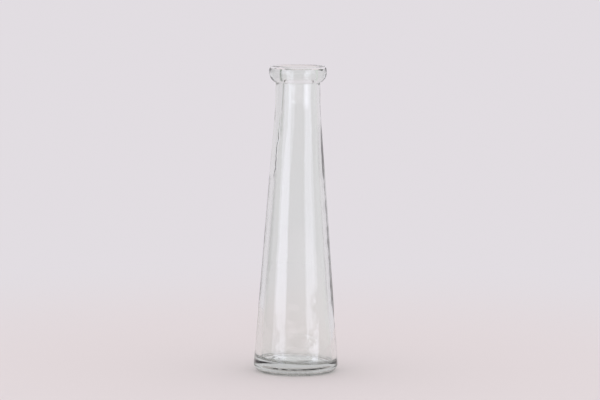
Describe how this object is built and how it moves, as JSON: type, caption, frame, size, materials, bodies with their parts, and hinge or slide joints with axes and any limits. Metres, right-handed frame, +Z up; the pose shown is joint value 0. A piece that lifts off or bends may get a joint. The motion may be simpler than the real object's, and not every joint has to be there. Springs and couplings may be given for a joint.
{
  "type": "bottle vase",
  "caption": "Tall conical bottle vase of clear glass with a thick rounded lip ring, a narrow neck and a heavy base, for water and a few cut stems.",
  "frame": {"origin": "on the table plane, at the vase's axis, in the middle of the ring that it stands on", "axes": "+Z up along the vase's axis, from the base to the mouth; X and Y are free, because the vase is round"},
  "size_m": [0.055, 0.055, 0.2],
  "materials": {
    "clear_glass": "clear moulded soda-lime glass, glossy, with a faint green cast where it is thick"
  },
  "bodies": {
    "root": {"lip_ring": "clear_glass", "tapered_wall": "clear_glass", "base": "clear_glass"}
  },
  "joints": []
}
